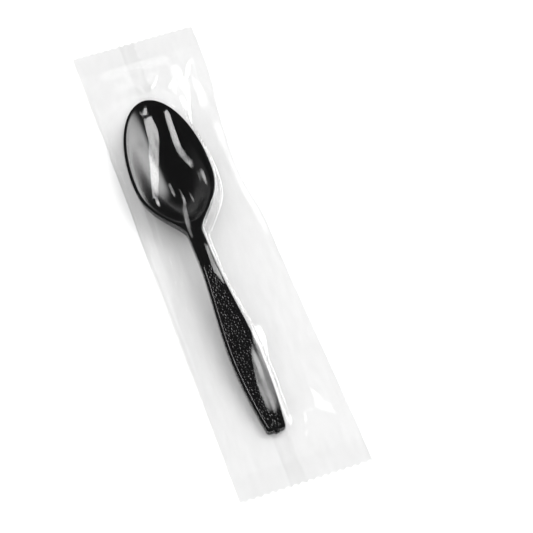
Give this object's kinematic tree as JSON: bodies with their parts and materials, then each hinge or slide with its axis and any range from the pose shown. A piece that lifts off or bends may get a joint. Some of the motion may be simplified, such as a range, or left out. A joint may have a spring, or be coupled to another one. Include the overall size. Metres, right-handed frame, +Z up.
{
  "type": "plastic cutlery pack",
  "caption": "Black plastic teaspoon with a grained handle panel, sealed in a clear film sachet with crimped zigzag ends and a folded back seam.",
  "frame": {"origin": "on the surface that the pack lies on, under the middle of the film", "axes": "+Y along the pack towards the spoon's bowl, +Z up from the flat back, +X to the right seen from above"},
  "size_m": [0.05, 0.203, 0.0111],
  "materials": {
    "black_plastic": "moulded gloss, with a fine leather grain on the handle's panel",
    "clear_film": "clear glossy film with soft creases"
  },
  "bodies": {
    "root": {"spoon": "black_plastic", "film_wrapper": "clear_film"}
  },
  "joints": []
}
